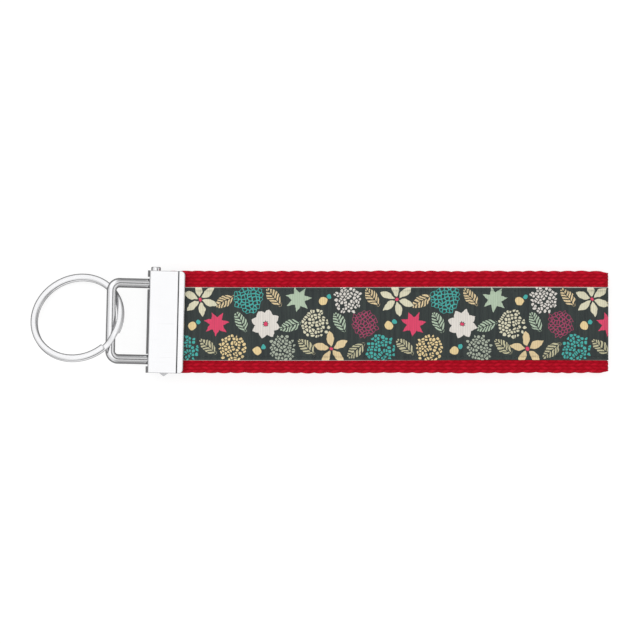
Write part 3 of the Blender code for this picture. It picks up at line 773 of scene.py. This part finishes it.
CLAMP_DEPTH = 11.75
CLAMP_LENGTH = WEBBING_WIDTH + 0.1
SHEET_T = 0.75
PLATE_GAP = 0.2
LIP_LENGTH = 1.75
LIP_BEND_R = 0.4
CREASE_WIDTH = 0.6
CREASE_DEPTH = 0.28
LIP_CORNER_R = 1.4
TEETH = 9
SPUR_LENGTH = 2.9
SPUR_REACH = 1.0
SPUR_AT = 5.6
WIRE_D = 3.0
CHANNEL_GAP = 0.25
LEG_INSET = 4.075           # from each end of the clamp to a leg's middle line
LEG_SPACING = CLAMP_LENGTH - 2 * LEG_INSET
LOOP_SWING = 18.0
NOSE_REACH = 0.85
NOSE_BLUNT = 1.6
NOSE_INNER_R = 0.45
SLOT_SIDE_GAP = 0.3
EDGE_R = 0.17               # of the sheet's cut edges

hinges = {joint["name"]: joint for joint in frame["joints"]}
loop_joint = hinges["loop_tilt"]
CROSS = np.array(loop_joint["axis"], float)
ALONG = np.array([CROSS[1], -CROSS[0], 0.0])
UP = np.array([0.0, 0.0, 1.0])
STACK_HALF = LAYER_GAP / 2 + WEBBING_SQUEEZE * WEBBING_T + FABRIC_GAP + RIBBON_T
PLATE_HALF = STACK_HALF + PLATE_GAP
PLATE_TOP = PLATE_HALF + SHEET_T
TIP_Z = PLATE_HALF - LIP_BITE
CHANNEL_R = WIRE_D / 2 + CHANNEL_GAP
HINGE_U = -CLAMP_DEPTH / 2 + CHANNEL_R + SHEET_T
LOOP_HINGE = np.array(loop_joint["pos_m"], float) / MM
CLAMP_MIDDLE = LOOP_HINGE - ALONG * HINGE_U


def swept_mesh(name, points, smooth_angle=None):
    """A closed tube through a grid of points (rows, points round, xyz) in mm, its ends closed
    flat; edges sharper than smooth_angle, in degrees, stay sharp.
    """
    rows, count = points.shape[:2]
    i, j = np.meshgrid(np.arange(rows - 1), np.arange(count), indexing="ij")
    k = (j + 1) % count
    quads = np.stack([i * count + j, i * count + k, (i + 1) * count + k, (i + 1) * count + j], -1)
    caps = [list(range(count))[::-1], list(range((rows - 1) * count, rows * count))]
    mesh = bpy.data.meshes.new(name)
    faces = quads.reshape(-1, 4).tolist() + caps
    mesh.from_pydata((points.reshape(-1, 3) * MM).tolist(), [], faces)
    made = closed_object(name, mesh)
    if smooth_angle:
        mesh.set_sharp_from_angle(angle=math.radians(smooth_angle))
    return made


def clamp_section(v):
    """(u, z) all round the folded sheet at v across the clamp: outer face, lip, inner face and
    the other lip. A tooth's notch lifts the lip's tip, and near the clamp's ends the lip draws
    back round its rounded corner.
    """
    end = CLAMP_LENGTH / 2
    past = np.clip(abs(v) - (end - LIP_CORNER_R), 0, LIP_CORNER_R)
    back = LIP_CORNER_R - math.sqrt(max(LIP_CORNER_R**2 - past**2, 0.0))
    mouth = CLAMP_DEPTH / 2
    crease = mouth - LIP_LENGTH
    pitch = (CLAMP_LENGTH - 2 * LIP_CORNER_R) / TEETH
    place = (v + end - LIP_CORNER_R) / pitch
    notch = max(0.0, 1 - abs(place - math.floor(place) - 0.5) / 0.28)
    notch = notch if 0 < place < TEETH else 0.0
    tip = TIP_Z + (PLATE_HALF - 0.05 - TIP_Z) * notch
    turn = np.radians(np.linspace(90, 0, 14))
    bend_u = mouth - LIP_BEND_R + LIP_BEND_R * np.cos(turn)
    bend_z = PLATE_TOP - LIP_BEND_R + LIP_BEND_R * np.sin(turn)
    across = np.linspace(-1, 1, 13)
    dent_u = crease - CREASE_WIDTH / 2 + across * CREASE_WIDTH / 2
    dent_z = PLATE_TOP - CREASE_DEPTH * (0.5 + 0.5 * np.cos(np.pi * across)) ** 2
    plate_u = np.linspace(HINGE_U, dent_u[0], 9)[1:-1]
    outer_u = np.concatenate([plate_u, dent_u, bend_u, [mouth, mouth - 0.1]])
    outer_z = np.concatenate([plate_u * 0 + PLATE_TOP, dent_z, bend_z, [tip + 0.1, tip]])
    inner_u = np.array([mouth - SHEET_T + 0.1, mouth - SHEET_T, mouth - SHEET_T - 0.12])
    inner_z = np.array([tip, tip + 0.1, max(PLATE_HALF, tip + 0.15)])
    under_u = np.linspace(mouth - SHEET_T - 0.2, HINGE_U, 8)[:-1]
    inner_u = np.concatenate([inner_u, under_u])
    inner_z = np.concatenate([inner_z, under_u * 0 + PLATE_HALF])
    front = HINGE_U - CHANNEL_R - SHEET_T
    arc = np.linspace(0, np.pi, 61)
    nose_u = front + NOSE_REACH * (1 - np.clip(np.sin(arc), 0, 1) ** NOSE_BLUNT)
    nose_z = (CHANNEL_R + SHEET_T) * np.cos(arc)
    arc = np.radians(np.linspace(90, 180, 13))
    channel_u = HINGE_U - CHANNEL_R + NOSE_INNER_R + NOSE_INNER_R * np.cos(arc)
    channel_z = CHANNEL_R - NOSE_INNER_R + NOSE_INNER_R * np.sin(arc)
    channel_u = np.concatenate([channel_u, channel_u[::-1]])
    channel_z = np.concatenate([channel_z, -channel_z[::-1]])
    u = np.concatenate([outer_u[::-1], nose_u, outer_u, inner_u, channel_u[::-1], inner_u[::-1]])
    z = np.concatenate(
        [outer_z[::-1], nose_z, -outer_z, -inner_z, channel_z[::-1], inner_z[::-1]]
    )
    limit = mouth - back
    soft = np.where(u > limit - 0.9, limit - 0.9 + (u - limit + 0.9) * 0.9 / (0.9 + back), u)
    return np.stack([soft, np.full(len(u), v), z], -1)


def clamp_place(points):
    """Clamp coordinates (u along, v across, z over the middle plane) to the frame, in mm."""
    return CLAMP_MIDDLE + points[..., :1] * ALONG + points[..., 1:2] * CROSS + points[..., 2:] * UP


def prism_tool(name, outline, axis_low, axis_high):
    """A cutting shape: an outline of (u, z) pushed across from one v to another."""
    rows = [[(u, v, z) for u, z in outline] for v in (axis_low, axis_high)]
    made = swept_mesh(name, clamp_place(np.array(rows, float)))
    made.hide_render = True
    return made


def apply_modifiers(obj):
    """Turn an object's modifiers into its mesh."""
    graph = bpy.context.evaluated_depsgraph_get()
    mesh = bpy.data.meshes.new_from_object(obj.evaluated_get(graph))
    obj.modifiers.clear()
    obj.data = mesh


def cut_clamp(body):
    """Cuts the two slots in the fold and adds the small pointed tab on the lower plate's end."""
    spread = math.tan(math.radians(LOOP_SWING))
    start = WIRE_D / 2 / math.cos(math.radians(LOOP_SWING)) + CHANNEL_GAP / 2
    far = CHANNEL_R + SHEET_T + 1
    wedge = [(HINGE_U + 0.3, start - 0.3 * spread), (HINGE_U - far, start + far * spread)]
    wedge += [(u, -z) for u, z in wedge[::-1]]
    side = WIRE_D / 2 + SLOT_SIDE_GAP
    legs = LEG_SPACING / 2
    tools = [
        prism_tool("slot_upper", wedge, legs - side, legs + side + SLOT_SIDE_GAP),
        prism_tool("slot_lower", wedge, -legs - side - SLOT_SIDE_GAP, -legs + side),
    ]
    u = -CLAMP_DEPTH / 2 + SPUR_AT
    end = -CLAMP_LENGTH / 2
    tab = [(-SPUR_LENGTH / 2, 0.6), (-SPUR_LENGTH / 2, 0), (-0.12, -SPUR_REACH)]
    tab += [(-a, b) for a, b in tab[::-1]]
    rows = [[(u + a, end + b, z) for a, b in tab] for z in (0.1 - PLATE_TOP, -PLATE_HALF - 0.1)]
    tools.append(swept_mesh("tab_tool", clamp_place(np.array(rows, float))))
    for tool, operation in zip(tools, ("DIFFERENCE", "DIFFERENCE", "UNION")):
        step = body.modifiers.new(tool.name, "BOOLEAN")
        step.operation = operation
        step.solver = "EXACT"
        step.object = tool
    apply_modifiers(body)
    for tool in tools:
        bpy.data.objects.remove(tool)


end_v = CLAMP_LENGTH / 2
near_end = end_v - LIP_CORNER_R * (1 - np.sin(np.linspace(0, np.pi / 2, 15)))
near_end[-1] = end_v
between = np.linspace(-near_end[0], near_end[0], 181)[1:-1]
stations_v = np.concatenate([-near_end[::-1], between, near_end])
clamp_grid = np.stack([clamp_section(float(v)) for v in stations_v])
clamp = swept_mesh("clamp_plate", clamp_place(clamp_grid))
cut_clamp(clamp)
edges = clamp.modifiers.new("cut_edges", "BEVEL")
edges.width = EDGE_R * MM
edges.segments = 3
edges.limit_method = "ANGLE"
edges.angle_limit = math.radians(50)
edges.use_clamp_overlap = True
apply_modifiers(clamp)
clamp.data.shade_smooth()
clamp.data.set_sharp_from_angle(angle=math.radians(35))


def handling_marks():
    """Group: what use leaves on plated metal: fine short scratches, faint cloudy patches."""
    tree, given, wanted = new_group(
        "handling_marks",
        [("Vector", "NodeSocketVector", None), ("Amount", "NodeSocketFloat", 0.5)],
        [("Cloud", "NodeSocketFloat"), ("Scratch", "NodeSocketFloat")],
    )
    tree.links.new(noise(tree, given["Vector"], 180.0, 5.0, 0.6), wanted["Cloud"])
    found = []
    for turn, scale in ((0.6, 130.0), (-1.1, 107.5)):
        laid = stretched(tree, given["Vector"], (1.0, 26.0, 1.0), (0.2, 0.3, turn))
        line = noise(tree, laid, scale, 2.0, 0.4)
        found.append(calc(tree, "MULTIPLY_ADD", line, 9.0, -6.1, clamp=True))
    marks = calc(tree, "MAXIMUM", *found)
    tree.links.new(calc(tree, "MULTIPLY", marks, given["Amount"]), wanted["Scratch"])
    return tree


def plated_look(name, colour, smooth, dull, amount):
    """Nickel plate: bright, with cloudy patches that change its gloss, and hair-fine scratches."""
    made, tree, shader = new_material(name, Metallic=1.0)
    coords = tree.nodes.new("ShaderNodeTexCoord")
    marks = put_group(tree, HANDLING, {"Vector": coords.outputs["Object"], "Amount": amount})
    tint = calc(tree, "MULTIPLY_ADD", marks[0], 0.12, 0.0)
    tint = calc(tree, "MULTIPLY_ADD", marks[1], 0.35, tint, clamp=True)
    darker = tuple(c * 0.75 for c in colour[:3]) + (1.0,)
    tree.links.new(blend_colour(tree, tint, colour, darker), shader.inputs["Base Color"])
    gloss = calc(tree, "MULTIPLY_ADD", marks[0], dull - smooth, smooth)
    gloss = calc(tree, "MULTIPLY_ADD", marks[1], 0.2, gloss, clamp=True)
    tree.links.new(gloss, shader.inputs["Roughness"])
    bump(tree, shader, calc(tree, "MULTIPLY", marks[1], -1.0), 0.01 * MM, 0.3)
    return made


def paint_clamp_shade(made):
    """Painted shade on the clamp: a painted dark line of shade in the crease, where u, the
    distance along the strap from the clamp's middle, is within the crease's width, and painted
    grey shade on the cut edges at both ends, where v, the distance across it, is past the last
    quarter millimetre; and a painted dark reflection band where the fold's nose leaves the plates.
    """
    tree = made.node_tree
    shader = tree.nodes["Principled BSDF"]
    coords = tree.nodes.new("ShaderNodeTexCoord").outputs["Object"]
    found = []
    for heading in (ALONG, CROSS):
        place = vector_calc(tree, "DOT_PRODUCT", coords, tuple(heading / MM))
        found.append(calc(tree, "SUBTRACT", place, float(CLAMP_MIDDLE @ heading)))
    # Painted shade: a dark line along the crease.
    u = calc(tree, "SUBTRACT", found[0], CLAMP_DEPTH / 2 - LIP_LENGTH - CREASE_WIDTH / 2)
    crease = calc(tree, "MULTIPLY_ADD", calc(tree, "ABSOLUTE", u), -6.0, 1.5, clamp=True)
    # Painted shade: grey along the cut edges at both ends.
    past = calc(tree, "SUBTRACT", calc(tree, "ABSOLUTE", found[1]), CLAMP_LENGTH / 2 - 0.25)
    ends = calc(tree, "MULTIPLY", past, 6.0, clamp=True)
    uneven = calc(tree, "MULTIPLY_ADD", noise(tree, coords, 260.0), 0.6, 0.5, clamp=True)
    base = shader.inputs["Base Color"]
    plain = base.links[0].from_socket
    ends = calc(tree, "MULTIPLY", ends, uneven)
    plain = blend_colour(tree, ends, plain, (0.3, 0.3, 0.31, 1.0))
    # Painted reflection: a darker band where the fold's nose leaves the plates.
    nose_reflection_shade = calc(tree, "ADD", found[0], CLAMP_DEPTH / 2 - NOSE_REACH + 0.05)
    nose_reflection_shade = calc(tree, "MULTIPLY_ADD", calc(tree, "ABSOLUTE", nose_reflection_shade), -7.0, 2.2, clamp=True)
    nose_reflection_shade = calc(tree, "MULTIPLY", nose_reflection_shade, uneven)
    plain = blend_colour(tree, nose_reflection_shade, plain, (0.46, 0.46, 0.47, 1.0))
    crease = calc(tree, "MULTIPLY", crease, uneven)
    tree.links.new(blend_colour(tree, crease, plain, (0.13, 0.13, 0.14, 1.0)), base)
    return made


HANDLING = handling_marks()
clamp.data.materials.clear()
clamp.data.materials.append(
    paint_clamp_shade(plated_look("clamp_nickel", (0.74, 0.74, 0.75, 1.0), 0.1, 0.26, 0.4))
)
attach(clamp, "strap")
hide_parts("clamp")

# ---- Wire loop ----
# One length of 3 mm nickel-plated steel wire: a crossbar, two rounded corners and two legs, whose
# feet turn outwards inside the clamp's fold so that the loop swings there.

LOOP_REACH = 14.1
CORNER_R = 2.5
FOOT_BEND_R = 1.8
FOOT_PROUD = 1.15
FOOT_SHORT = 0.6
FOOT_RIM = 0.35             # radius on the rim of each foot's cut end

ring_joint = hinges["ring_swing"]
BAR_MIDDLE = np.array(ring_joint["pos_m"], float) / MM
TO_BAR = (BAR_MIDDLE - LOOP_HINGE) / np.linalg.norm(BAR_MIDDLE - LOOP_HINGE)
LOOP_UP = np.cross(CROSS, TO_BAR)
LOOP_UP = LOOP_UP * np.sign(LOOP_UP[2])


def loop_path():
    """The wire's middle line as (reach towards the bar, v across): straight runs joined by
    quarter circles, from one foot's end round to the other's.
    """
    legs = LEG_SPACING / 2
    quarter = np.linspace(0, np.pi / 2, 25)
    foot = CLAMP_LENGTH / 2
    runs = []
    tip = foot + FOOT_PROUD - FOOT_RIM * (1 - np.cos(quarter[::4]))
    straight = np.linspace(tip[-1], legs + FOOT_BEND_R, 9)[1:]
    across = np.concatenate([tip, straight])
    runs.append(np.stack([across * 0, across], -1))
    bend = np.stack([1 - np.cos(quarter), 1 - np.sin(quarter)], -1) * FOOT_BEND_R
    runs.append(bend + [0, legs])
    straight = np.linspace(FOOT_BEND_R, LOOP_REACH - CORNER_R, 14)
    runs.append(np.stack([straight, np.full(14, legs)], -1))
    corner = np.stack([np.sin(quarter), np.cos(quarter) - 1], -1) * CORNER_R
    runs.append(corner + [LOOP_REACH - CORNER_R, legs])
    half_path = np.concatenate([runs[0], runs[1][1:], runs[2][1:], runs[3][1:]])
    other = half_path[::-1] * [1, -1]
    squeeze = np.clip((-other[:, 1] - (legs + FOOT_BEND_R)), 0, None)
    scale = (foot - FOOT_SHORT - legs - FOOT_BEND_R) / (foot + FOOT_PROUD - legs - FOOT_BEND_R)
    other[:, 1] += squeeze * (1 - scale)
    bar = np.linspace(half_path[-1, 1], other[0, 1], 30)[1:-1]
    bar = np.stack([np.full(28, LOOP_REACH), bar], -1)
    return np.concatenate([half_path, bar, other])


def loop_grid():
    """Circles square to the path, 32 points each; near each end they shrink along a quarter
    circle, which rounds the cut face's rim.
    """
    path = loop_path()
    place = np.concatenate([[0.0], np.cumsum(np.linalg.norm(np.diff(path, axis=0), axis=1))])
    tangent = np.gradient(path, place, axis=0)
    tangent /= np.linalg.norm(tangent, axis=1)[:, None]
    radius = WIRE_D / 2
    edge = np.minimum(place, place[-1] - place)
    rim = np.clip(1 - edge / FOOT_RIM, 0, 1)
    ring = radius - FOOT_RIM * (1 - np.sqrt(1 - rim**2))
    side = np.stack([-tangent[:, 1], tangent[:, 0]], -1)
    turn = np.linspace(0, 2 * np.pi, 32, endpoint=False)
    flat = path[:, None, :] + side[:, None, :] * (ring[:, None] * np.cos(turn))[..., None]
    lift = ring[:, None] * np.sin(turn)
    return (
        LOOP_HINGE
        + flat[..., :1] * TO_BAR
        + flat[..., 1:] * CROSS
        + lift[..., None] * LOOP_UP
    )


wire_loop = swept_mesh("loop_wire", loop_grid(), 50)
wire_loop.data.materials.append(
    plated_look("loop_nickel", (0.74, 0.74, 0.75, 1.0), 0.1, 0.24, 0.5)
)
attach(wire_loop, "loop")
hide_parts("wire_loop")

# ---- Split ring ----
# Flat spring wire wound into two turns that lie on each other, with one step where they cross,
# nickel plated. It leans on the loop's crossbar and touches the table on its far side.

RING_OD = 29.8
RING_WIRE_W = 2.05
RING_WIRE_T = 0.95
RING_TURN_GAP = 0.2
RING_STEP_HALF = 13.0
RING_STEP_AT = -62.0
CROWN = 2.1                 # power of the wire's section: 2 is an ellipse, more is squarer
RING_TILT = 28.0
RING_LEAN = 26.0
RING_BAR_GAP = 0.55
RING_SHIFT = 0.9


def ring_grid():
    """Flat wire with a crowned face, carried round two turns: the section is the superellipse
    |x / w| ** CROWN + |y / t| ** CROWN = 1, and its level rises one pitch along a smooth S where
    the turns cross.
    """
    half_w, half_t = RING_WIRE_W / 2, RING_WIRE_T / 2
    round_a = np.linspace(0, 2 * np.pi, 40, endpoint=False)
    section_x = np.sign(np.cos(round_a)) * np.abs(np.cos(round_a)) ** (2 / CROWN)
    section_y = np.sign(np.sin(round_a)) * np.abs(np.sin(round_a)) ** (2 / CROWN)
    section = np.stack([half_w * section_x, half_t * section_y], -1)
    start = RING_STEP_AT + RING_STEP_HALF
    end = RING_STEP_AT + 720 - RING_STEP_HALF
    angle = np.linspace(start, end, 481)
    t = np.clip((angle - (RING_STEP_AT + 360 - RING_STEP_HALF)) / (2 * RING_STEP_HALF), 0, 1)
    level = (RING_WIRE_T + RING_TURN_GAP) * (t * t * (3 - 2 * t) - 0.5)
    from_end = np.minimum(angle - start, end - angle)
    taper = 1 - 0.25 * np.clip(1 - from_end / 1.5, 0, 1) ** 2
    reach = RING_OD / 2 - half_w + section[None, :, 0] * taper[:, None]
    up = level[:, None] + section[None, :, 1] * taper[:, None]
    a = np.radians(angle)[:, None]
    return np.stack([reach * np.cos(a), reach * np.sin(a), up], -1)


def ring_place(points):
    """Tilts the ring about its level diameter, turns it to its lean, and sets it down so that it
    touches the table and its inside meets the crossbar.
    """
    tilt_cos, tilt_sin = math.cos(math.radians(-RING_TILT)), math.sin(math.radians(-RING_TILT))
    lean_cos, lean_sin = math.cos(math.radians(RING_LEAN)), math.sin(math.radians(RING_LEAN))
    tip = np.array([[1, 0, 0], [0, tilt_cos, -tilt_sin], [0, tilt_sin, tilt_cos]])
    spin = np.array([[lean_cos, -lean_sin, 0], [lean_sin, lean_cos, 0], [0, 0, 1]])
    turned = points @ (spin @ tip).T
    half_x = math.hypot(lean_cos, lean_sin * tilt_cos)
    from_bar = (RING_OD / 2 - RING_WIRE_W) * half_x - RING_BAR_GAP - WIRE_D / 2
    middle = [BAR_MIDDLE[0] - from_bar, BAR_MIDDLE[1] + RING_SHIFT, -turned[..., 2].min()]
    return turned + np.array(middle)


split_ring = swept_mesh("ring_coil", ring_place(ring_grid()), 50)
split_ring.data.materials.append(
    plated_look("ring_nickel", (0.66, 0.66, 0.67, 1.0), 0.12, 0.26, 0.6)
)
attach(split_ring, "ring")
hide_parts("split_ring")

# ---- Table and light ----
# A plain pale table top, and a wide soft studio sky: bright overhead, a large soft window to one
# side, and darker low down, which gives the plated metal its edges.

TABLE_HALF = 3.0            # metres
TABLE_Z = -2e-5             # a hair below the fob, so that nothing lies in the table's plane


def table_look():
    """A backlit white light table with a very faint mottle; in reflections it counts as shaded."""
    made, tree, shader = new_material("table_top", Roughness=0.9)
    shader.inputs["Specular IOR Level"].default_value = 0.1
    coords = tree.nodes.new("ShaderNodeTexCoord")
    mottle = noise(tree, coords.outputs["Object"], 90.0)
    pale = blend_colour(tree, mottle, (0.29, 0.29, 0.29, 1.0), (0.31, 0.31, 0.31, 1.0))
    glossy = tree.nodes.new("ShaderNodeLightPath").outputs["Is Glossy Ray"]
    pale = blend_colour(tree, glossy, pale, (0.26, 0.26, 0.26, 1.0))
    tree.links.new(pale, shader.inputs["Base Color"])
    lit = blend_colour(tree, glossy, (1.0, 1.0, 1.0, 1.0), (0.0, 0.0, 0.0, 1.0))
    tree.links.new(lit, shader.inputs["Emission Color"])
    shader.inputs["Emission Strength"].default_value = 0.77
    return made


table_mesh = bpy.data.meshes.new("table")
signs = ((-1, -1), (1, -1), (1, 1), (-1, 1))
corners = [(a * TABLE_HALF, b * TABLE_HALF, TABLE_Z) for a, b in signs]
table_mesh.from_pydata(corners, [], [(0, 1, 2, 3)])
table = bpy.data.objects.new("table", table_mesh)
bpy.context.scene.collection.objects.link(table)
table.data.materials.append(table_look())


def lobe(tree, direction, towards, narrow, wide):
    """1 within an angle of a direction, 0 beyond a wider angle (both degrees), smooth between."""
    size = math.sqrt(sum(c * c for c in towards))
    closeness = vector_calc(tree, "DOT_PRODUCT", direction, tuple(c / size for c in towards))
    ramp = tree.nodes.new("ShaderNodeMapRange")
    ramp.interpolation_type = "SMOOTHSTEP"
    tree.links.new(closeness, ramp.inputs["Value"])
    ramp.inputs["From Min"].default_value = math.cos(math.radians(wide))
    ramp.inputs["From Max"].default_value = math.cos(math.radians(narrow))
    return ramp.outputs[0]


def studio_sky():
    """Light by direction: an even sky that darkens near the horizon, a bright soft panel
    overhead, a window to one side, and a narrow dark flag between them.
    """
    world = bpy.data.worlds.new("studio")
    world.use_nodes = True
    tree = world.node_tree
    coords = tree.nodes.new("ShaderNodeTexCoord")
    direction = vector_calc(tree, "NORMALIZE", coords.outputs["Generated"])
    low = tree.nodes.new("ShaderNodeMapRange")
    low.interpolation_type = "SMOOTHSTEP"
    tree.links.new(split_xyz(tree, direction)[2], low.inputs["Value"])
    low.inputs["From Min"].default_value = 0.0
    low.inputs["From Max"].default_value = 0.2
    low.inputs["To Min"].default_value = 0.3
    low.inputs["To Max"].default_value = 1.0
    light = low.outputs[0]
    overhead = lobe(tree, direction, (-0.12, 0.0, 1.0), 22.0, 40.0)
    light = calc(tree, "MULTIPLY_ADD", overhead, 0.34, light)
    window = lobe(tree, direction, (-0.36, 0.75, 0.56), 20.0, 38.0)
    light = calc(tree, "MULTIPLY_ADD", window, 0.45, light)
    for sideways in (0.83, -0.83):
        shade = lobe(tree, direction, (0.4, sideways, 0.39), 14.0, 34.0)
        light = calc(tree, "MULTIPLY_ADD", shade, -0.45, light)
    shade = lobe(tree, direction, (0.53, 0.0, 0.85), 8.0, 17.0)
    light = calc(tree, "MULTIPLY_ADD", shade, -0.85, light)
    light = calc(tree, "MAXIMUM", light, 0.08)
    background = tree.nodes["Background"]
    background.inputs["Color"].default_value = (1.0, 1.0, 1.0, 1.0)
    tree.links.new(light, background.inputs["Strength"])
    return world


bpy.context.scene.world = studio_sky()
bpy.context.scene.view_settings.view_transform = "Standard"
